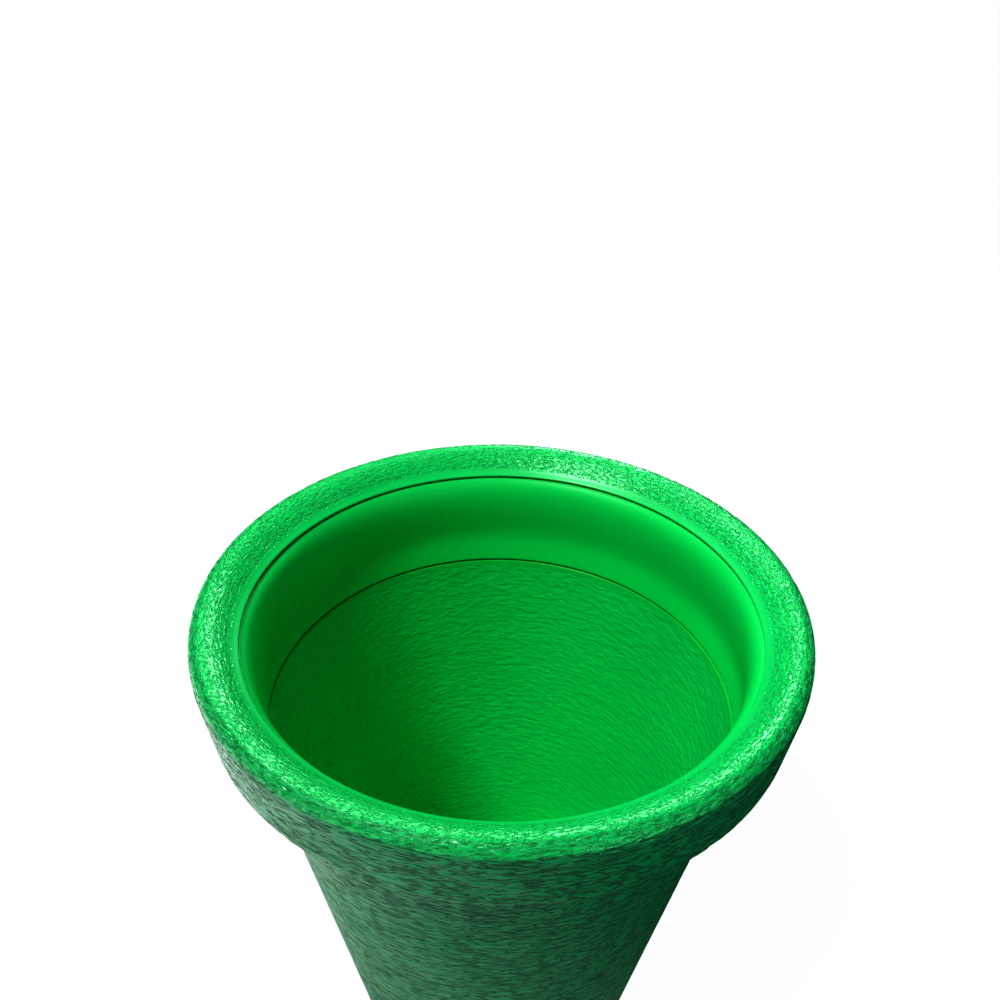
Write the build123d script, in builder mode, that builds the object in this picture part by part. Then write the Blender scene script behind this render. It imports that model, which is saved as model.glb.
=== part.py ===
from build123d import *
import os

# Florist bucket: a deep tapered pot with an overhanging hollow collar and a fat rolled rim.
# A smooth ring lines the mouth, clamped under the collar's inner lip, and a push-in plug with a
# soft washer closes the drain in the base. Millimetres, +Z up, origin at the middle of the base
# on the ground.

# Overall size
rim_radius = 180.0
total_height = 360.0

# Rolled rim: a tight shoulder outside its crown and a long gentle fall inside it. The pull says how
# far the handles of the shoulder's curve reach, as a share of its width and height
roll_height = 9.6
rim_level = total_height - roll_height
crown_radius = 173.5
shoulder_pull = 0.75
fall_crown_reach = 6.5
fall_foot_reach = 3.5

# Collar
collar_skin = 3.0
collar_drop = 39.2
collar_bottom = rim_level - collar_drop
skirt_foot_radius = 174.6
skirt_corner = 4.0

# Tapered wall of the body
neck_radius = 154.6
wall_slope = 0.175
wall_thickness = 4.4
rebate_depth = 2.2

# Smooth ring in the mouth, between an upper and a lower seam
seam_gap = 1.6
upper_seam_level = rim_level - 4.9
upper_seam_radius = 153.2
lower_seam_level = rim_level - 72.4
ring_thickness = 1.8
ring_waist_outset = 2.8
ring_waist_share = 0.5
ring_waist_lean = -0.1
ring_flare_width = 7.0
ring_flare_height = 4.5

# Bead at the end of the collar's inner lip
bead_foot_radius = 156.4
bead_foot_level = rim_level - 1.0
bead_nose_radius = 153.2
bead_nose_thickness = 0.9
bead_foot_round = 1.0
edge_round = 0.4
lip_seat_radius = 156.6
body_top_outset = 0.5

# Base
foot_height = 8.0
foot_width = 6.0
foot_outer_round = 2.0
foot_inner_round = 1.5
foot_root_fillet = 2.5
floor_thickness = 4.4
floor_level = foot_height + floor_thickness
floor_fillet = 14.0
notch_width = 26.0
notch_height = 4.0
notch_count = 4

# Drain plug and its washer
drain_radius = 15.0
drain_boss_radius = 24.0
drain_boss_bottom = 5.0
plug_clearance = 0.05
plug_head_radius = 22.0
plug_head_thickness = 4.0
plug_shank_wall = 3.2
plug_shank_bottom = 4.0
tab_width = 26.0
tab_height = 18.0
tab_thickness = 6.0
tab_shoulder = 7.0
tab_edge_round = 1.2
head_edge_round = 1.6
shank_lead_in = 1.2
washer_thickness = 1.6
washer_radius = 20.0


def wall_radius(level):
    # outer radius of the tapered wall at a height above the ground
    return neck_radius + wall_slope * (level - collar_bottom)


def nearest(sketch, radius, level):
    # the corner of a section that is nearest to a point
    return sketch.vertices().sort_by_distance((radius, level))[0]


def shoulder_curve(radius, crown_level):
    # handles from the upright side of the roll up to its level crown
    width = radius - crown_radius
    height = crown_level - rim_level
    return [
        (radius, rim_level),
        (radius, rim_level + shoulder_pull * height),
        (crown_radius + shoulder_pull * width, crown_level),
        (crown_radius, crown_level),
    ]


def fall_curve(crown_level, foot_radius):
    # handles from the level crown down the inner side to the bead
    return [
        (crown_radius, crown_level),
        (crown_radius - fall_crown_reach, crown_level),
        (foot_radius + fall_foot_reach, bead_foot_level + fall_foot_reach),
        (foot_radius, bead_foot_level),
    ]


def ring_line(outset):
    # handles of the two curves of the ring's face, or of its back at an outset from it
    foot = (ring_foot_radius + outset, ring_foot_level)
    waist = (foot[0] + ring_waist_outset, ring_foot_level + ring_waist_share * ring_height)
    top = (upper_seam_radius + outset, ring_top_level if outset == 0 else body_top_level)
    reach = ring_height / 4
    lower = [
        foot,
        (foot[0] + wall_slope * reach, foot[1] + reach),
        (waist[0] - ring_waist_lean * reach, waist[1] - reach),
        waist,
    ]
    upper = [
        waist,
        (waist[0] + ring_waist_lean * reach, waist[1] + reach),
        (top[0] - ring_flare_width, top[1] - ring_flare_height),
        top,
    ]
    return lower, upper


ring_foot_level = lower_seam_level + seam_gap / 2
ring_top_level = upper_seam_level - seam_gap / 2
lip_nose_level = upper_seam_level + seam_gap / 2
body_top_level = ring_top_level - ring_thickness
rebate_level = ring_foot_level - seam_gap
ring_foot_radius = wall_radius(ring_foot_level) - wall_thickness
ring_height = ring_top_level - ring_foot_level
drain_seat_level = floor_level + washer_thickness
hollow_level = total_height - collar_skin
hollow_end_radius = bead_foot_radius + collar_skin

os.makedirs("parts", exist_ok=True)

# Bucket body: tapered wall, closed floor on a foot ring, rebate for the mouth ring at the top
with BuildPart() as bucket_body:
    with BuildSketch(Plane.XZ) as body_section:
        with BuildLine():
            Polyline(
                (0, foot_height),
                (wall_radius(0) - foot_width, foot_height),
                (wall_radius(0) - foot_width, 0),
                (wall_radius(0), 0),
                (wall_radius(body_top_level), body_top_level),
                (wall_radius(body_top_level) - rebate_depth, body_top_level),
                (wall_radius(rebate_level) - rebate_depth, rebate_level),
                (wall_radius(rebate_level) - wall_thickness, rebate_level),
                (wall_radius(floor_level) - wall_thickness, floor_level),
                (0, floor_level),
                close=True,
            )
        make_face()
        fillet(nearest(body_section, wall_radius(floor_level) - wall_thickness, floor_level), floor_fillet)
        fillet(nearest(body_section, wall_radius(0), 0), foot_outer_round)
        fillet(nearest(body_section, wall_radius(0) - foot_width, 0), foot_inner_round)
        fillet(nearest(body_section, wall_radius(0) - foot_width, foot_height), foot_root_fillet)
    revolve(axis=Axis.Z)
    with BuildSketch(Plane.XY.offset(drain_boss_bottom)):
        Circle(drain_boss_radius)
    extrude(until=Until.NEXT)
    Hole(drain_radius)
    with BuildSketch(Plane.XY):
        with PolarLocations(wall_radius(0) - foot_width / 2, notch_count, start_angle=180 / notch_count):
            Rectangle(3 * foot_width, notch_width)
    extrude(amount=notch_height, mode=Mode.SUBTRACT)
bucket_body.part.label = "bucket_body"
export_step(bucket_body.part, "parts/bucket_body.step")

# Rim collar: a hollow channel, open towards the body, from the ledge under it over the rolled
# rim to the bead of its inner lip
with BuildPart() as rim_collar:
    with BuildSketch(Plane.XZ) as collar_section:
        with BuildLine():
            shoulder = Bezier(shoulder_curve(rim_radius, total_height))
            fall = Bezier(fall_curve(total_height, bead_foot_radius))
            hollow_shoulder = Bezier(shoulder_curve(rim_radius - collar_skin, hollow_level))
            hollow_fall = Bezier(fall_curve(hollow_level, hollow_end_radius))
            Polyline(
                fall @ 1,
                (bead_nose_radius, lip_nose_level + bead_nose_thickness),
                (bead_nose_radius, lip_nose_level),
                (lip_seat_radius, lip_nose_level),
                (lip_seat_radius, ring_top_level),
                (hollow_end_radius, ring_top_level),
                hollow_fall @ 1,
            )
            Polyline(
                hollow_shoulder @ 0,
                (skirt_foot_radius - collar_skin, collar_bottom + collar_skin),
                (wall_radius(collar_bottom + collar_skin), collar_bottom + collar_skin),
                (wall_radius(collar_bottom), collar_bottom),
                (skirt_foot_radius, collar_bottom),
                shoulder @ 0,
            )
        make_face()
        fillet(nearest(collar_section, skirt_foot_radius, collar_bottom), skirt_corner)
        fillet(nearest(collar_section, bead_nose_radius, lip_nose_level + bead_nose_thickness), edge_round)
        fillet(nearest(collar_section, bead_nose_radius, lip_nose_level), edge_round)
        fillet(nearest(collar_section, bead_foot_radius, bead_foot_level), bead_foot_round)
    revolve(axis=Axis.Z)
rim_collar.part.label = "rim_collar"
export_step(rim_collar.part, "parts/rim_collar.step")

# Mouth ring: a smooth ring with a gently S-shaped face and a flange that the collar's lip holds
# down on the top edge of the body
with BuildPart() as mouth_ring:
    with BuildSketch(Plane.XZ) as ring_section:
        with BuildLine():
            for lower, upper in (ring_line(0), ring_line(ring_thickness)):
                Bezier(lower)
                Bezier(upper)
            Line((ring_foot_radius, ring_foot_level), (ring_foot_radius + ring_thickness, ring_foot_level))
            Polyline(
                (upper_seam_radius + ring_thickness, body_top_level),
                (wall_radius(body_top_level) - body_top_outset, body_top_level),
                (wall_radius(body_top_level) - body_top_outset, ring_top_level),
                (upper_seam_radius, ring_top_level),
            )
        make_face()
        fillet(nearest(ring_section, upper_seam_radius, ring_top_level), edge_round)
        fillet(nearest(ring_section, ring_foot_radius, ring_foot_level), edge_round)
    revolve(axis=Axis.Z)
mouth_ring.part.label = "mouth_ring"
export_step(mouth_ring.part, "parts/mouth_ring.step")

# Drain plug: a round head on a hollow shank, with a flat tab to pull it out by
with BuildPart() as drain_plug:
    with BuildSketch(Plane.XZ) as plug_section:
        shank_radius = drain_radius - plug_clearance
        head_top = drain_seat_level + plug_head_thickness
        with BuildLine():
            Polyline(
                (0, drain_seat_level),
                (shank_radius - plug_shank_wall, drain_seat_level),
                (shank_radius - plug_shank_wall, plug_shank_bottom),
                (shank_radius, plug_shank_bottom),
                (shank_radius, drain_seat_level),
                (plug_head_radius, drain_seat_level),
                (plug_head_radius, head_top),
                (0, head_top),
                close=True,
            )
        make_face()
        fillet(nearest(plug_section, plug_head_radius, head_top), head_edge_round)
        chamfer(nearest(plug_section, shank_radius, plug_shank_bottom), shank_lead_in)
    revolve(axis=Axis.Z)
    head_middle = drain_seat_level + plug_head_thickness / 2
    tab_top = head_top + tab_height
    with BuildSketch(Plane.XZ) as tab_outline:
        with Locations((0, (head_middle + tab_top) / 2)):
            Rectangle(tab_width, tab_top - head_middle)
        fillet(tab_outline.vertices().group_by(Axis.Y)[-1], tab_shoulder)
    extrude(amount=tab_thickness / 2, both=True)
    fillet(drain_plug.faces().sort_by(Axis.Z)[-1].edges().filter_by(Axis.X), tab_edge_round)
drain_plug.part.label = "drain_plug"
export_step(drain_plug.part, "parts/drain_plug.step")

# Drain washer: soft flat ring on the plug's shank, under its head
with BuildPart() as drain_washer:
    with BuildSketch(Plane.XY.offset(floor_level)):
        Circle(washer_radius)
        Circle(drain_radius - plug_clearance, mode=Mode.SUBTRACT)
    extrude(amount=washer_thickness)
drain_washer.part.label = "drain_washer"
export_step(drain_washer.part, "parts/drain_washer.step")
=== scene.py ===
import math
import bpy
import bmesh
from mathutils import Euler, Matrix, Vector, noise
from mathutils.geometry import interpolate_bezier


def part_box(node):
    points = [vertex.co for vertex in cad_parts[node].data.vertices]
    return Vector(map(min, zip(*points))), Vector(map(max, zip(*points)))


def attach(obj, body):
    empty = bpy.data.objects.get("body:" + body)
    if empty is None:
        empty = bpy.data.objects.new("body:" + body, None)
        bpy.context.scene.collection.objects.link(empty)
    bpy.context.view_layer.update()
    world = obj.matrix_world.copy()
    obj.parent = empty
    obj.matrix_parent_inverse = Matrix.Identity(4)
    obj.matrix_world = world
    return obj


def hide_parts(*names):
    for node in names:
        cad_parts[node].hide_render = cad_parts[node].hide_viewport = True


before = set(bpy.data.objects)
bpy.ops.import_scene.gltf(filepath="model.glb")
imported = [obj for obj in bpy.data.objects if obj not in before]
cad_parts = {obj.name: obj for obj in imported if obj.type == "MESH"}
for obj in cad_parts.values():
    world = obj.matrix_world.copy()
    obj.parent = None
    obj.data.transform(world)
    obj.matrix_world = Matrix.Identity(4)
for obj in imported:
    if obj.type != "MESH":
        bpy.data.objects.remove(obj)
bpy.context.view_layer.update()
mm = 0.001
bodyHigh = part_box("bucket_body")[1]
collarLow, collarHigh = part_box("rim_collar")
ringLow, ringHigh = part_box("mouth_ring")
scene = bpy.context.scene
rimRadius = collarHigh.x
rimLevel = collarHigh.z - 9.6 * mm  # where the collar is widest


# camera, over the rim and looking down into the mouth

cameraSetup = {
    "back": 2.5666,  # in rim radii, from the middle of the rim
    "up": 2.1064,
    "yaw": -0.0054,
    "pitch": 0.5806,
    "roll": 0.0192,
    "lens": 36.0,
}


def addCamera(setup):
    data = bpy.data.cameras.new("camera")
    data.sensor_width = 36.0
    data.lens = setup["lens"]
    data.clip_end = 100
    camera = bpy.data.objects.new("camera", data)
    scene.collection.objects.link(camera)
    place = Vector((0, -setup["back"] * rimRadius, rimLevel + setup["up"] * rimRadius))
    turn = Euler((math.pi / 2 - setup["pitch"], 0, -setup["yaw"])).to_matrix().to_4x4()
    camera.matrix_world = Matrix.Translation(place) @ turn @ Matrix.Rotation(setup["roll"], 4, "Z")
    scene.camera = camera


addCamera(cameraSetup)
print("camera set")


# sections, turned round the axis

roundSteps = 5  # edges of a rounded corner
mergeDistance = 1e-6


def curve(handles, count):
    # points of a Bezier curve of four (radius, height) handles
    ends = [Vector((radius, 0, level)) for radius, level in handles]
    return [(point.x, point.z) for point in interpolate_bezier(*ends, count)]


def nearestVert(bm, place):
    # the vertex of a section nearest to a (radius, height) place
    return min(bm.verts, key=lambda v: (v.co - Vector((place[0], 0, place[1]))).length)


def sectionLoop(stretches, rounds):
    # a closed line in the XZ plane. A stretch is (step, points), and its edges are cut at its step.
    # The layer along holds the distance from the first point
    bm = bmesh.new()
    stepLayer = bm.edges.layers.float.new("step")
    along = bm.verts.layers.float.new("along")
    corners = [(radius, level, step) for step, points in stretches for radius, level in points]
    verts = [bm.verts.new((radius, 0, level)) for radius, level, step in corners]
    for i, (radius, level, step) in enumerate(corners):
        edge = bm.edges.new((verts[i], verts[(i + 1) % len(verts)]))
        edge[stepLayer] = step
    for place, cut in rounds:
        bmesh.ops.bevel(bm, geom=[nearestVert(bm, place)], offset=cut, offset_type="OFFSET",
                        segments=roundSteps, profile=0.5, affect="VERTICES", material=-1)
    byCuts = {}
    for edge in bm.edges:
        if edge[stepLayer] > 0:
            byCuts.setdefault(int(edge.calc_length() / edge[stepLayer]), []).append(edge)
    for cuts, edges in byCuts.items():
        if cuts:
            bmesh.ops.subdivide_edges(bm, edges=edges, cuts=cuts)
    first = here = nearestVert(bm, corners[0])
    toward = Vector((corners[1][0], 0, corners[1][1])) - here.co
    edge = max(here.link_edges, key=lambda e: (e.other_vert(first).co - first.co).dot(toward))
    distance = 0.0
    while True:
        distance += edge.calc_length()
        here = edge.other_vert(here)
        if here is first:
            break
        here[along] = distance
        edge = [e for e in here.link_edges if e is not edge][0]
    return bm


def alongAt(bm, place):
    # distance along the line of the point nearest to a place
    return nearestVert(bm, place)[bm.verts.layers.float["along"]]


def turnRound(bm, steps):
    bmesh.ops.spin(bm, geom=bm.verts[:] + bm.edges[:], cent=(0, 0, 0), axis=(0, 0, 1), dvec=(0, 0, 0),
                   angle=2 * math.pi, steps=steps, use_merge=True)
    bmesh.ops.remove_doubles(bm, verts=bm.verts, dist=mergeDistance)
    bmesh.ops.recalc_face_normals(bm, faces=bm.faces)
    bm.normal_update()


def finishPiece(bm, name, material):
    mesh = bpy.data.meshes.new(name)
    bm.to_mesh(mesh)
    bm.free()
    for polygon in mesh.polygons:
        polygon.use_smooth = True
    piece = bpy.data.objects.new(name, mesh)
    scene.collection.objects.link(piece)
    mesh.materials.append(material)
    print(name, len(mesh.polygons), "faces")
    return piece


# pressed grain: plateaus parted by valleys. Sizes are one cell of the noise, round the bucket and along
# the section; valley gives the noise values at a valley's bottom and edge

barkShape = {"across": 7.5 * mm, "up": 1.9 * mm, "warp": 0.35, "second": 0.45, "valley": (-0.28, 0.02)}
wallShape = {"across": 15.0 * mm, "up": 4.2 * mm, "warp": 0.35, "second": 0.0, "valley": (-0.35, 0.25)}
shoulderShape = {"across": 3.6 * mm, "up": 1.7 * mm, "warp": 0.7, "second": 0.4, "valley": (-0.32, 0.0)}
crownShape = {"across": 2.3 * mm, "up": 1.6 * mm, "warp": 0.5, "second": 0.5, "valley": (-0.40, 0.10)}
rippleShape = {"across": 9.0 * mm, "up": 3.4 * mm, "warp": 0.4, "second": 0.0, "valley": (-0.60, 0.60)}
finerShift = Vector((31.0, 7.0, 3.0))  # keeps the finer noise apart from the coarse one


def smoothStep(low, high, value):
    t = min(1.0, max(0.0, (value - low) / (high - low)))
    return t * t * (3 - 2 * t)


def grainHeight(place, shape):
    # 0 at the bottom of a valley, 1 on a plateau
    q = Vector((place.x / shape["across"], place.y / shape["across"], place.z / shape["up"]))
    q = q + shape["warp"] * noise.noise_vector(q * 0.5)
    value = noise.noise(q)
    if shape["second"]:
        value += shape["second"] * noise.noise(q * 2.0 + finerShift)
    low, high = shape["valley"]
    return smoothStep(low, high, value)


def pressGrain(bm, bands):
    # a band is pressed from one distance along the section to another, and fades over its two ends;
    # depth is its deepest press; its valley darkening is painted shade put into the grain's valleys, line is
    # how much the fine lines show in it and how much of the outside's painted shade it takes, and crown how
    # much the pebbles show in it
    along = bm.verts.layers.float["along"]
    valley = bm.verts.layers.float.new("valley")
    # this share also sets how much of the outside's painted shade a vertex takes
    line = bm.verts.layers.float.new("linesAndOuterShade")
    crown = bm.verts.layers.float.new("crownShare")
    grainPlace = bm.verts.layers.float_vector.new("grainPlace")
    moves = []
    for vert in bm.verts:
        place = Vector((vert.co.x, vert.co.y, vert[along]))
        vert[grainPlace] = place
        press = 0.0
        for band in bands:
            share = smoothStep(band["from"], band["from"] + band["fade"], vert[along])
            share *= 1 - smoothStep(band["to"] - band["fade"], band["to"], vert[along])
            if share > 0:
                low = share * (1 - grainHeight(place, band["shape"]))
                press += low * band["depth"]
                # painted shade: the valley attribute darkens the colour where the grain is pressed in
                vert[valley] += low * band["paintedValleyShade"]
                vert[line] += share * band["line"]
                vert[crown] += share * band["crown"]
        if press > 0:
            moves.append((vert, vert.normal * -press))
    for vert, move in moves:
        vert.co = vert.co + move


# node groups

def newGroup(name, inputs, outputs):
    group = bpy.data.node_groups.new(name, "ShaderNodeTree")
    for socketName, kind, default in inputs:
        socket = group.interface.new_socket(socketName, in_out="INPUT", socket_type=kind)
        if default is not None:
            socket.default_value = default
    for socketName, kind in outputs:
        group.interface.new_socket(socketName, in_out="OUTPUT", socket_type=kind)
    return group, group.nodes.new("NodeGroupInput"), group.nodes.new("NodeGroupOutput")


def mathNode(tree, operation, a, b=None, c=None, clamp=False):
    node = tree.nodes.new("ShaderNodeMath")
    node.operation = operation
    node.use_clamp = clamp
    for socket, value in zip(node.inputs, (a, b, c)):
        if value is None:
            continue
        if isinstance(value, (int, float)):
            socket.default_value = value
        else:
            tree.links.new(value, socket)
    return node.outputs[0]


def rangeNode(tree, value, fromLow, fromHigh, toLow, toHigh, smooth=False):
    node = tree.nodes.new("ShaderNodeMapRange")
    node.interpolation_type = "SMOOTHSTEP" if smooth else "LINEAR"
    tree.links.new(value, node.inputs["Value"])
    ends = (("From Min", fromLow), ("From Max", fromHigh), ("To Min", toLow), ("To Max", toHigh))
    for socketName, end in ends:
        if isinstance(end, (int, float)):
            node.inputs[socketName].default_value = end
        else:
            tree.links.new(end, node.inputs[socketName])
    return node.outputs[0]


def makeBarkGrain():
    # valleys drawn out sideways, on coordinates that follow the surface; with a centre they are thin lines
    group, inside, outside = newGroup(
        "barkGrain",
        [("Vector", "NodeSocketVector", None), ("Across", "NodeSocketFloat", 120.0),
         ("Up", "NodeSocketFloat", 520.0), ("Bottom", "NodeSocketFloat", 0.38),
         ("Edge", "NodeSocketFloat", 0.50), ("Centre", "NodeSocketFloat", 0.0),
         ("Detail", "NodeSocketFloat", 1.6),
         ("Distortion", "NodeSocketFloat", 0.4)],
        [("Valley", "NodeSocketFloat")])
    scale = group.nodes.new("ShaderNodeCombineXYZ")
    group.links.new(inside.outputs["Across"], scale.inputs["X"])
    group.links.new(inside.outputs["Across"], scale.inputs["Y"])
    group.links.new(inside.outputs["Up"], scale.inputs["Z"])
    place = group.nodes.new("ShaderNodeVectorMath")
    place.operation = "MULTIPLY"
    group.links.new(inside.outputs["Vector"], place.inputs[0])
    group.links.new(scale.outputs[0], place.inputs[1])
    pattern = group.nodes.new("ShaderNodeTexNoise")
    pattern.inputs["Scale"].default_value = 1.0
    pattern.inputs["Roughness"].default_value = 0.5
    group.links.new(inside.outputs["Detail"], pattern.inputs["Detail"])
    group.links.new(inside.outputs["Distortion"], pattern.inputs["Distortion"])
    group.links.new(place.outputs[0], pattern.inputs["Vector"])
    offCentre = mathNode(group, "SUBTRACT", pattern.outputs["Fac"], inside.outputs["Centre"])
    away = mathNode(group, "ABSOLUTE", offCentre)
    valley = rangeNode(group, away, inside.outputs["Bottom"], inside.outputs["Edge"], 1.0, 0.0, smooth=True)
    group.links.new(valley, outside.inputs["Valley"])
    return group


def makeFineGrain():
    # sandy tooth of moulded plastic, with slow blotches for the finish
    group, inside, outside = newGroup(
        "fineGrain",
        [("Vector", "NodeSocketVector", None), ("Scale", "NodeSocketFloat", 900.0),
         ("Blotch Scale", "NodeSocketFloat", 18.0)],
        [("Height", "NodeSocketFloat"), ("Blotch", "NodeSocketFloat")])
    tooth = group.nodes.new("ShaderNodeTexNoise")
    tooth.inputs["Detail"].default_value = 2.0
    blotch = group.nodes.new("ShaderNodeTexNoise")
    blotch.inputs["Detail"].default_value = 3.0
    group.links.new(inside.outputs["Vector"], tooth.inputs["Vector"])
    group.links.new(inside.outputs["Scale"], tooth.inputs["Scale"])
    group.links.new(inside.outputs["Vector"], blotch.inputs["Vector"])
    group.links.new(inside.outputs["Blotch Scale"], blotch.inputs["Scale"])
    group.links.new(tooth.outputs["Fac"], outside.inputs["Height"])
    group.links.new(blotch.outputs["Fac"], outside.inputs["Blotch"])
    return group


barkGrain = makeBarkGrain()
fineGrain = makeFineGrain()


def placeGroup(tree, group, vector, **values):
    node = tree.nodes.new("ShaderNodeGroup")
    node.node_tree = group
    tree.links.new(vector, node.inputs["Vector"])
    for name, value in values.items():
        node.inputs[name.replace("_", " ")].default_value = value
    return node


def attribute(tree, name, output="Fac"):
    node = tree.nodes.new("ShaderNodeAttribute")
    node.attribute_name = name
    return node.outputs[output]


def mixColour(tree, factor, first, second):
    node = tree.nodes.new("ShaderNodeMix")
    node.data_type = "RGBA"
    for socket, value in ((node.inputs[0], factor), (node.inputs[6], first), (node.inputs[7], second)):
        if isinstance(value, (int, float, tuple)):
            socket.default_value = value
        else:
            tree.links.new(value, socket)
    return node.outputs[2]


def bump(tree, height, distance, normal=None):
    node = tree.nodes.new("ShaderNodeBump")
    node.inputs["Distance"].default_value = distance
    tree.links.new(height, node.inputs["Height"])
    if normal is not None:
        tree.links.new(normal, node.inputs["Normal"])
    return node.outputs["Normal"]


# plastics

def newPlastic(name, look):
    material = bpy.data.materials.new(name)
    material.use_nodes = True
    tree = material.node_tree
    shader = tree.nodes["Principled BSDF"]
    shader.inputs["Specular IOR Level"].default_value = look["specular"]
    place = tree.nodes.new("ShaderNodeTexCoord").outputs["Object"]
    fine = placeGroup(tree, fineGrain, place, Scale=look["toothScale"], Blotch_Scale=look["blotchScale"])
    blotch = rangeNode(tree, fine.outputs["Blotch"], 0.3, 0.7, 0.0, 1.0)
    tint = mixColour(tree, blotch, look["colour"], look["second"])
    low, high = look["roughness"]
    gloss = rangeNode(tree, fine.outputs["Blotch"], 0.3, 0.7, low, high)
    return material, tree, shader, fine, tint, gloss


def grainedPlastic(name, look):
    material, tree, shader, fine, tint, gloss = newPlastic(name, look)
    place = attribute(tree, "grainPlace", "Vector")
    bark = placeGroup(tree, barkGrain, place, **look["bark"])
    small = placeGroup(tree, barkGrain, place, **look["small"])
    share = attribute(tree, "crownShare")
    lines = mathNode(tree, "MULTIPLY", bark.outputs["Valley"], attribute(tree, "linesAndOuterShade"))
    pebbles = mathNode(tree, "MULTIPLY", small.outputs["Valley"], share)
    bothLines = mathNode(tree, "ADD", lines, pebbles, clamp=True)
    lineDark = mathNode(tree, "MULTIPLY", lines, look["lineShade"])
    pebbleDark = mathNode(tree, "MULTIPLY", pebbles, look["pebbleShade"])
    # painted shade in the crevices: the grain's valleys, lines and pebbles darken the colour; the same amount
    # also dulls them
    deep = mathNode(tree, "ADD", lineDark, attribute(tree, "valley"))
    deep = mathNode(tree, "ADD", deep, pebbleDark, clamp=True)
    # painted shade: where the fine lines are (the outside of the wall and the collar's skirt) the base colour
    # turns darker, standing in for shade the relief does not give
    tint = mixColour(tree, attribute(tree, "linesAndOuterShade"), tint, look["side"])
    colour = mixColour(tree, mathNode(tree, "MULTIPLY", deep, look["valleyShade"]), tint, look["deep"])
    # painted shade: the gap between the mouth ring's foot and the body's ledge is darkened in colour
    colour = mixColour(tree, attribute(tree, "seamShade"), colour, look["seam"])
    tree.links.new(colour, shader.inputs["Base Color"])
    dull = mathNode(tree, "MULTIPLY", deep, look["valleyDull"])
    tree.links.new(mathNode(tree, "ADD", gloss, dull, clamp=True), shader.inputs["Roughness"])
    barkNormal = bump(tree, mathNode(tree, "SUBTRACT", 1.0, bothLines), look["lineDepth"])
    ripple = placeGroup(tree, barkGrain, place, **look["ripple"])
    rippleLow = mathNode(tree, "MULTIPLY", ripple.outputs["Valley"], attribute(tree, "rippleShare"))
    rippleHeight = mathNode(tree, "SUBTRACT", 1.0, rippleLow)
    rippleNormal = bump(tree, rippleHeight, look["rippleDepth"], barkNormal)
    toothNormal = bump(tree, fine.outputs["Height"], look["toothDepth"], rippleNormal)
    tree.links.new(toothNormal, shader.inputs["Normal"])
    return material


def smoothPlastic(name, look):
    material, tree, shader, fine, tint, gloss = newPlastic(name, look)
    tree.links.new(tint, shader.inputs["Base Color"])
    tree.links.new(gloss, shader.inputs["Roughness"])
    tree.links.new(bump(tree, fine.outputs["Height"], look["toothDepth"]), shader.inputs["Normal"])
    return material


wallLook = {
    # the darker outside colour is painted shade for the wall's outside and the collar's skirt
    "colour": (0.0, 0.61, 0.16, 1), "second": (0.0, 0.65, 0.18, 1), "side": (0.0, 0.28, 0.11, 1),
    # the crevice colour is painted shade for the grain's valleys and lines
    "deep": (0.0, 0.07, 0.025, 1),
    # colour of the painted shade in the gap under the mouth ring
    "seam": (0.0, 0.55, 0.08, 1),
    "valleyShade": 0.75, "lineShade": 1.0, "pebbleShade": 0.08, "valleyDull": 0.2,
    "roughness": (0.32, 0.44), "specular": 0.5, "lineDepth": 0.6 * mm, "rippleDepth": 0.3 * mm,
    "bark": {"Across": 75.0, "Up": 520.0, "Bottom": 0.01, "Edge": 0.07, "Centre": 0.5, "Detail": 1.5,
             "Distortion": 0.25},
    "small": {"Across": 420.0, "Up": 620.0, "Bottom": 0.36, "Edge": 0.48, "Detail": 1.5,
              "Distortion": 0.6},
    "ripple": {"Across": 130.0, "Up": 330.0, "Bottom": 0.30, "Edge": 0.70, "Detail": 0.6,
               "Distortion": 0.5},
    "toothScale": 900.0, "blotchScale": 18.0, "toothDepth": 0.02 * mm,
}
collarLook = dict(wallLook, colour=(0.0, 0.62, 0.17, 1), second=(0.0, 0.66, 0.19, 1),
                  valleyShade=0.8,
                  roughness=(0.26, 0.38))
ringLook = {
    "colour": (0.0, 0.68, 0.17, 1), "second": (0.0, 0.70, 0.175, 1), "roughness": (0.38, 0.46),
    "specular": 0.25, "toothScale": 1400.0, "blotchScale": 9.0, "toothDepth": 0.004 * mm,
}
plugLook = dict(ringLook, colour=(0.0, 0.42, 0.10, 1), second=(0.0, 0.46, 0.11, 1), toothDepth=0.015 * mm)
washerLook = dict(ringLook, colour=(0.02, 0.02, 0.02, 1), second=(0.03, 0.03, 0.03, 1),
                  roughness=(0.6, 0.75), toothDepth=0.02 * mm)

wallPlastic = grainedPlastic("wallPlastic", wallLook)
collarPlastic = grainedPlastic("collarPlastic", collarLook)
ringPlastic = smoothPlastic("ringPlastic", ringLook)
plugPlastic = smoothPlastic("plugPlastic", plugLook)
washerRubber = smoothPlastic("washerRubber", washerLook)
print("plastics made")


# bucket body: grained outside, softly grained inside, plain on the floor and under the base

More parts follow.
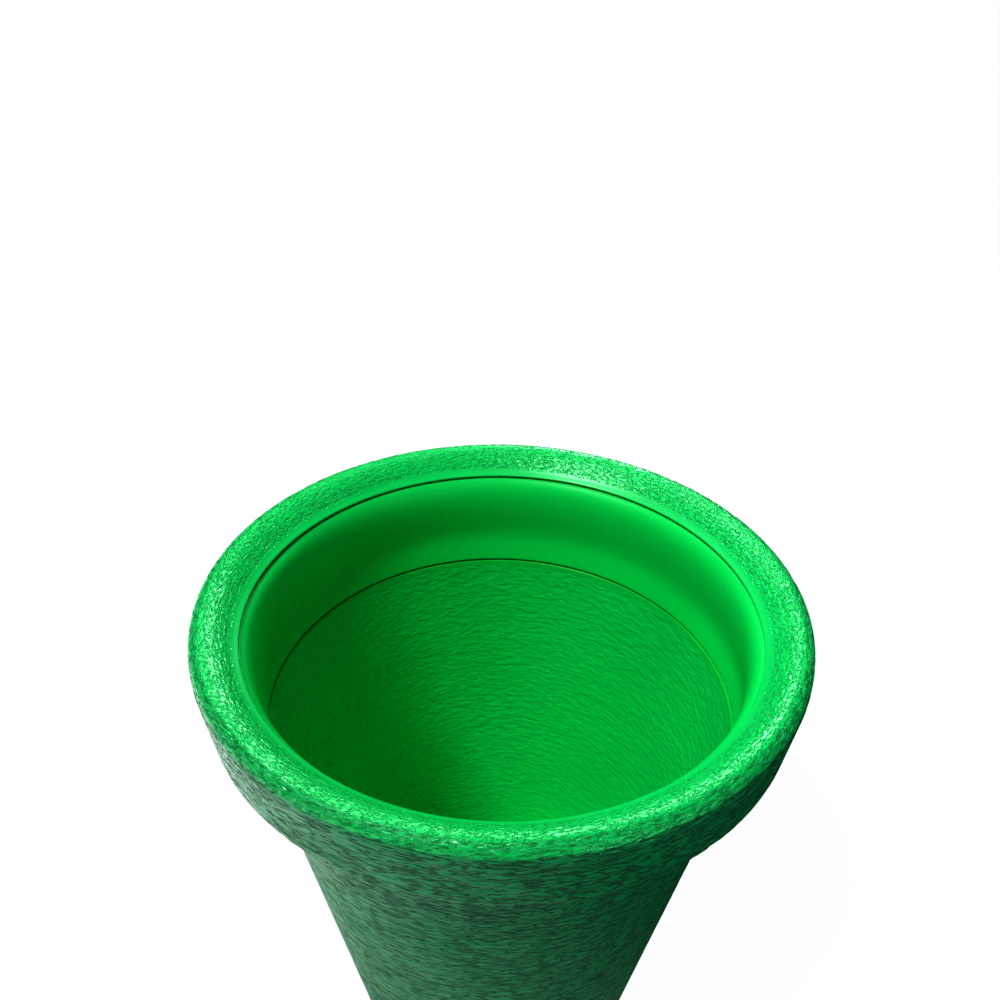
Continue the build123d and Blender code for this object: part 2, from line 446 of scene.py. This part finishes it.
bodySize = {
    "slope": 0.175, "neckLevel": 311.2 * mm, "neckRadius": 154.6 * mm, "wall": 4.4 * mm,
    "rebateLevel": 277.2 * mm, "rebate": 2.2 * mm, "footHeight": 8.0 * mm, "footWidth": 6.0 * mm,
    "floorLevel": 12.4 * mm, "drainRadius": 15.0 * mm, "bossRadius": 24.0 * mm, "bossBottom": 5.0 * mm,
    "notchWidth": 26.0 * mm, "notchHeight": 4.0 * mm, "notches": 4,
    "footRootRound": 2.5 * mm, "footInnerRound": 1.5 * mm, "footOuterRound": 2.0 * mm,
    "ledgeRound": 0.4 * mm, "floorRound": 12.0 * mm, "notchSlope": 0.02, "seamFade": (1.0 * mm, 0.2 * mm),
    "outerStart": 4.0 * mm, "outerPast": 3.0 * mm, "outerFade": 3.0 * mm,
    "innerStart": 1.0 * mm, "innerEnd": 28.0 * mm, "innerFade": 6.0 * mm, "insideBy": 1.0 * mm,
    "around": 280, "outerStep": 1.3 * mm, "innerStep": 2.4 * mm, "plainStep": 8.0 * mm,
    "outerDepth": 0.25 * mm, "innerDepth": 0.25 * mm,
}


def wallRadius(level):
    return bodySize["neckRadius"] + bodySize["slope"] * (level - bodySize["neckLevel"])


def cutNotches(bm, size):
    # lifts the foot ring where water runs out from under it
    footStart = wallRadius(0) - 2 * size["footWidth"]
    for vert in bm.verts:
        if vert.co.z > size["notchHeight"] or vert.co.xy.length < footStart:
            continue
        angle = math.atan2(vert.co.y, vert.co.x)
        turn = 2 * math.pi / size["notches"]
        off = (angle - turn / 2) / turn
        if abs(off - round(off)) * turn * wallRadius(0) < size["notchWidth"] / 2:
            vert.co.z = size["notchHeight"] + size["notchSlope"] * vert.co.z


def makeBody(size):
    top = bodyHigh.z
    foot = wallRadius(0)
    floorEdge = wallRadius(size["floorLevel"]) - size["wall"]
    footInside = foot - size["footWidth"]
    ledge = wallRadius(size["rebateLevel"])
    base = [(size["drainRadius"], size["bossBottom"]), (size["bossRadius"], size["bossBottom"]),
            (size["bossRadius"], size["footHeight"]), (footInside, size["footHeight"]), (footInside, 0)]
    rebate = [(wallRadius(top), top), (wallRadius(top) - size["rebate"], top),
              (ledge - size["rebate"], size["rebateLevel"])]
    stretches = [
        (size["plainStep"], base), (size["outerStep"], [(foot, 0)]), (size["plainStep"], rebate),
        (size["innerStep"], [(ledge - size["wall"], size["rebateLevel"])]),
        (size["plainStep"], [(floorEdge, size["floorLevel"]), (size["drainRadius"], size["floorLevel"])]),
    ]
    rounds = [
        ((footInside, size["footHeight"]), size["footRootRound"]),
        ((footInside, 0), size["footInnerRound"]),
        ((foot, 0), size["footOuterRound"]),
        ((ledge - size["wall"], size["rebateLevel"]), size["ledgeRound"]),
        ((floorEdge, size["floorLevel"]), size["floorRound"]),
    ]
    bm = sectionLoop(stretches, rounds)
    innerTop = size["rebateLevel"] - size["innerStart"]
    innerEnd = (wallRadius(size["innerEnd"]) - size["wall"], size["innerEnd"])
    outer = {
        "from": alongAt(bm, (foot, size["outerStart"])),
        "to": alongAt(bm, (wallRadius(collarLow.z), collarLow.z)) + size["outerPast"],
        "fade": size["outerFade"], "shape": wallShape, "depth": size["outerDepth"],
        "paintedValleyShade": 0.0, "line": 1.0, "crown": 0.0,
    }
    inner = {
        "from": alongAt(bm, (ledge - size["wall"], innerTop)), "to": alongAt(bm, innerEnd),
        "fade": size["innerFade"], "shape": rippleShape, "depth": size["innerDepth"],
        "paintedValleyShade": 0.0, "line": 0.0, "crown": 0.0,
    }
    turnRound(bm, size["around"])
    pressGrain(bm, [outer, inner])
    cutNotches(bm, size)
    along = bm.verts.layers.float["along"]
    # painted shade on the ledge and rebate behind the mouth ring, fading in over the millimetre below the
    # ledge
    seam = bm.verts.layers.float.new("seamShade")
    ripple = bm.verts.layers.float.new("rippleShare")
    seamLow, seamHigh = (size["rebateLevel"] - fade for fade in size["seamFade"])
    for vert in bm.verts:
        if vert.co.xy.length < wallRadius(vert.co.z) - size["insideBy"]:
            vert[seam] = smoothStep(seamLow, seamHigh, vert.co.z)
        share = smoothStep(inner["from"], inner["from"] + inner["fade"], vert[along])
        share *= 1 - smoothStep(inner["to"] - inner["fade"], inner["to"], vert[along])
        vert[ripple] = share
    return finishPiece(bm, "bucketBody", wallPlastic)


body = makeBody(bodySize)
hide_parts("bucket_body")
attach(body, "bucket")


# collar with the rolled rim: a hollow channel that ends inside in a smooth bead

collarSize = {
    "crown": 173.5 * mm, "shoulderPull": 0.75, "fallReach": (6.5 * mm, 3.5 * mm), "skin": 3.0 * mm,
    "skirtFoot": 174.6 * mm, "skirtRound": 4.0 * mm,
    "beadFoot": (156.4 * mm, rimLevel - 1.0 * mm), "beadRound": 1.0 * mm,
    "nose": 153.2 * mm, "noseLow": rimLevel - 4.1 * mm, "noseThick": 0.9 * mm, "noseRound": 0.4 * mm,
    "seat": 156.6 * mm, "seatLevel": rimLevel - 5.7 * mm, "curvePoints": 24,
    "around": 660, "step": 0.85 * mm, "plainStep": 8.0 * mm, "fade": 2.0 * mm,
    "skirtDepth": 0.35 * mm, "shoulderDepth": 0.65 * mm, "crownDepth": 0.32 * mm,
    "grainStart": 3.0 * mm, "shoulderPast": 3.0 * mm, "crownBefore": 2.0 * mm, "endBefore": 0.4 * mm,
}


def shoulderCurve(size, radius, crownLevel):
    # from the upright side of the roll up to its level crown
    width = (radius - size["crown"]) * size["shoulderPull"]
    height = (crownLevel - rimLevel) * size["shoulderPull"]
    handles = [(radius, rimLevel), (radius, rimLevel + height), (size["crown"] + width, crownLevel),
               (size["crown"], crownLevel)]
    return curve(handles, size["curvePoints"])


def fallCurve(size, crownLevel, footRadius):
    # from the crown down the inner side to the bead
    crownReach, footReach = size["fallReach"]
    foot = size["beadFoot"][1]
    handles = [(size["crown"], crownLevel), (size["crown"] - crownReach, crownLevel),
               (footRadius + footReach, foot + footReach), (footRadius, foot)]
    return curve(handles, size["curvePoints"])


def makeCollar(size):
    low = collarLow.z
    crown = (size["crown"], collarHigh.z)
    innerLevel = collarHigh.z - size["skin"]
    beadFoot = size["beadFoot"]
    hollowEnd = (beadFoot[0] + size["skin"], beadFoot[1])
    nose = (size["nose"], size["noseLow"] + size["noseThick"])
    noseUnder = (size["nose"], size["noseLow"])
    shoulder = shoulderCurve(size, rimRadius, collarHigh.z)
    fall = fallCurve(size, collarHigh.z, beadFoot[0])
    hollowShoulder = shoulderCurve(size, rimRadius - size["skin"], innerLevel)
    hollowFall = fallCurve(size, innerLevel, hollowEnd[0])
    lip = [nose, noseUnder, (size["seat"], size["noseLow"]), (size["seat"], size["seatLevel"]),
           (hollowEnd[0], size["seatLevel"])]
    hollow = hollowFall[::-1] + hollowShoulder[-2::-1]
    ledge = [(size["skirtFoot"] - size["skin"], low + size["skin"]),
             (wallRadius(low + size["skin"]), low + size["skin"])]
    stretches = [
        (size["plainStep"], [(wallRadius(low), low)]),
        (size["step"], [(size["skirtFoot"], low)] + shoulder + fall[1:]),
        (size["plainStep"], lip + hollow + ledge),
    ]
    rounds = [((size["skirtFoot"], low), size["skirtRound"]), (beadFoot, size["beadRound"]),
              (nose, size["noseRound"]), (noseUnder, size["noseRound"])]
    bm = sectionLoop(stretches, rounds)
    start = alongAt(bm, (wallRadius(low) + size["grainStart"], low))
    shoulderStart = alongAt(bm, (rimRadius, rimLevel)) + size["shoulderPast"]
    crownStart = alongAt(bm, crown) - size["crownBefore"]
    end = alongAt(bm, beadFoot) - size["endBefore"]
    fade = size["fade"]
    # each band's valley darkening is painted shade in the grain's valleys
    bands = [
        {"from": start, "to": shoulderStart + fade, "shape": barkShape, "depth": size["skirtDepth"],
         "paintedValleyShade": 0.05, "line": 1.0, "crown": 0.0},
        {"from": shoulderStart, "to": crownStart + fade, "shape": shoulderShape,
         "depth": size["shoulderDepth"], "paintedValleyShade": 0.4, "line": 0.3, "crown": 0.6},
        {"from": crownStart, "to": end, "shape": crownShape, "depth": size["crownDepth"],
         "paintedValleyShade": 0.06, "line": 0.0, "crown": 1.0},
    ]
    for band in bands:
        band["fade"] = fade
    turnRound(bm, size["around"])
    pressGrain(bm, bands)
    for name in ("seamShade", "rippleShare"):
        bm.verts.layers.float.new(name)
    return finishPiece(bm, "rimCollar", collarPlastic)


collar = makeCollar(collarSize)
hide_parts("rim_collar")
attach(collar, "bucket")


# smooth ring in the mouth: it follows the wall at its foot, leans in a little at its waist and flares
# at its top

ringSize = {
    "topRadius": 153.2 * mm, "thick": 1.8 * mm, "waistOut": 2.8 * mm, "waistShare": 0.5, "waistLean": -0.1,
    "flare": (7.0 * mm, 4.5 * mm), "flangeShort": 0.5 * mm, "edgeRound": 0.4 * mm,
    "points": 20, "backStep": 6.0 * mm, "around": 256,
}


def makeRing(size):
    foot = ringLow.z
    top = ringHigh.z
    under = top - size["thick"]
    footRadius = wallRadius(foot) - bodySize["wall"]
    height = top - foot
    reach = height / 4
    flange = wallRadius(under) - size["flangeShort"]

    def line(outset, topLevel):
        start = (footRadius + outset, foot)
        waist = (start[0] + size["waistOut"], foot + size["waistShare"] * height)
        end = (size["topRadius"] + outset, topLevel)
        lean = size["waistLean"] * reach
        flareOut, flareUp = size["flare"]
        lower = [start, (start[0] + bodySize["slope"] * reach, foot + reach),
                 (waist[0] - lean, waist[1] - reach), waist]
        upper = [waist, (waist[0] + lean, waist[1] + reach),
                 (end[0] - flareOut, end[1] - flareUp), end]
        return curve(lower, size["points"]) + curve(upper, size["points"])[1:]

    front = line(0, top)
    back = line(size["thick"], under)
    stretches = [(size["backStep"], front + [(flange, top), (flange, under)] + back[::-1])]
    rounds = [(front[0], size["edgeRound"]), (front[-1], size["edgeRound"])]
    bm = sectionLoop(stretches, rounds)
    turnRound(bm, size["around"])
    return finishPiece(bm, "mouthRing", ringPlastic)


ring = makeRing(ringSize)
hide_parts("mouth_ring")
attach(ring, "bucket")


# drain plug and washer keep their shape

for node, plastic in (("drain_plug", plugPlastic), ("drain_washer", washerRubber)):
    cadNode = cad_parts[node]
    cadNode.data.materials.clear()
    cadNode.data.materials.append(plastic)


# floor and light

lightSetup = {
    "floorSeen": (0.92, 0.92, 0.92, 1), "floorGlow": 1.0, "glowShare": 0.98, "floorHalf": 25,
    "floorBounce": (0.6, 0.6, 0.6, 1), "gamma": 0.62,  # the gamma is for a firm contrast
    "sun": 3.1, "sunAngle": 14, "sunFrom": (-0.36, -0.31, 0.88),
    "sky": (0.93, 0.97, 1.0, 1), "skyStrength": 0.13,
    # the floor glows only for glossy rays, brighter towards the left: a painted reflection that gives the
    # bucket's left front its sheen
    "paintedSheenGlow": 2.6, "sheenGlowFrom": -0.45, "sheenGlowTo": 0.18,  # floor as the gloss sees it, from left to right
    "panels": [
        {"name": "backLeft", "place": (-0.40, 0.80, 1.48), "size": 0.25, "power": 7.0},
        {"name": "backRight", "place": (0.19, 1.44, 1.12), "size": 0.25, "power": 11.0},
        {"name": "frontRight", "place": (1.0, -1.3, 0.25), "size": 0.8, "power": 12.0},
    ],
}


def addFloor(setup):
    bm = bmesh.new()
    bmesh.ops.create_grid(bm, x_segments=2, y_segments=2, size=setup["floorHalf"])
    material = bpy.data.materials.new("paleFloor")
    material.use_nodes = True
    tree = material.node_tree
    tree.nodes.remove(tree.nodes["Principled BSDF"])
    seen = tree.nodes.new("ShaderNodeBsdfDiffuse")
    seen.inputs["Color"].default_value = setup["floorSeen"]
    glow = tree.nodes.new("ShaderNodeEmission")
    glow.inputs["Strength"].default_value = setup["floorGlow"]
    bounce = tree.nodes.new("ShaderNodeBsdfDiffuse")
    bounce.inputs["Color"].default_value = setup["floorBounce"]
    blend = tree.nodes.new("ShaderNodeMixShader")
    blend.inputs[0].default_value = setup["glowShare"]
    tree.links.new(seen.outputs[0], blend.inputs[1])
    tree.links.new(glow.outputs[0], blend.inputs[2])
    # painted reflection: a glow seen only by glossy rays, fading from left to right, that puts a sheen on the
    # bucket's left front
    across = tree.nodes.new("ShaderNodeSeparateXYZ")
    tree.links.new(tree.nodes.new("ShaderNodeTexCoord").outputs["Object"], across.inputs[0])
    paintedSheenGlow = tree.nodes.new("ShaderNodeEmission")
    strength = rangeNode(tree, across.outputs["X"], setup["sheenGlowFrom"], setup["sheenGlowTo"], setup["paintedSheenGlow"], 0.0)
    tree.links.new(strength, paintedSheenGlow.inputs["Strength"])
    path = tree.nodes.new("ShaderNodeLightPath")
    mirrored = tree.nodes.new("ShaderNodeMixShader")
    tree.links.new(path.outputs["Is Glossy Ray"], mirrored.inputs[0])
    tree.links.new(bounce.outputs[0], mirrored.inputs[1])
    tree.links.new(paintedSheenGlow.outputs[0], mirrored.inputs[2])
    choose = tree.nodes.new("ShaderNodeMixShader")
    tree.links.new(path.outputs["Is Camera Ray"], choose.inputs[0])
    tree.links.new(mirrored.outputs[0], choose.inputs[1])
    tree.links.new(blend.outputs[0], choose.inputs[2])
    tree.links.new(choose.outputs[0], tree.nodes["Material Output"].inputs["Surface"])
    finishPiece(bm, "floor", material)


def addLights(setup):
    world = bpy.data.worlds.new("studio")
    world.use_nodes = True
    tree = world.node_tree
    tree.nodes["Background"].inputs["Color"].default_value = setup["sky"]
    seen = tree.nodes.new("ShaderNodeLightPath").outputs["Is Camera Ray"]
    tree.links.new(rangeNode(tree, seen, 0.0, 1.0, setup["skyStrength"], 1.0),
                   tree.nodes["Background"].inputs["Strength"])
    scene.world = world
    data = bpy.data.lights.new("sun", "SUN")
    data.energy = setup["sun"]
    data.angle = math.radians(setup["sunAngle"])
    sun = bpy.data.objects.new("sun", data)
    sun.rotation_euler = Vector(setup["sunFrom"]).to_track_quat("Z", "Y").to_euler()
    scene.collection.objects.link(sun)
    aim = Vector((0, 0, rimLevel))
    for panel in setup["panels"]:
        data = bpy.data.lights.new(panel["name"], "AREA")
        data.energy = panel["power"]
        data.size = panel["size"]
        light = bpy.data.objects.new(panel["name"], data)
        light.location = panel["place"]
        light.rotation_euler = (Vector(panel["place"]) - aim).to_track_quat("Z", "Y").to_euler()
        light.visible_camera = False
        scene.collection.objects.link(light)


addFloor(lightSetup)
addLights(lightSetup)
scene.view_settings.view_transform = "Standard"
scene.view_settings.gamma = lightSetup["gamma"]
print("floor and light set")
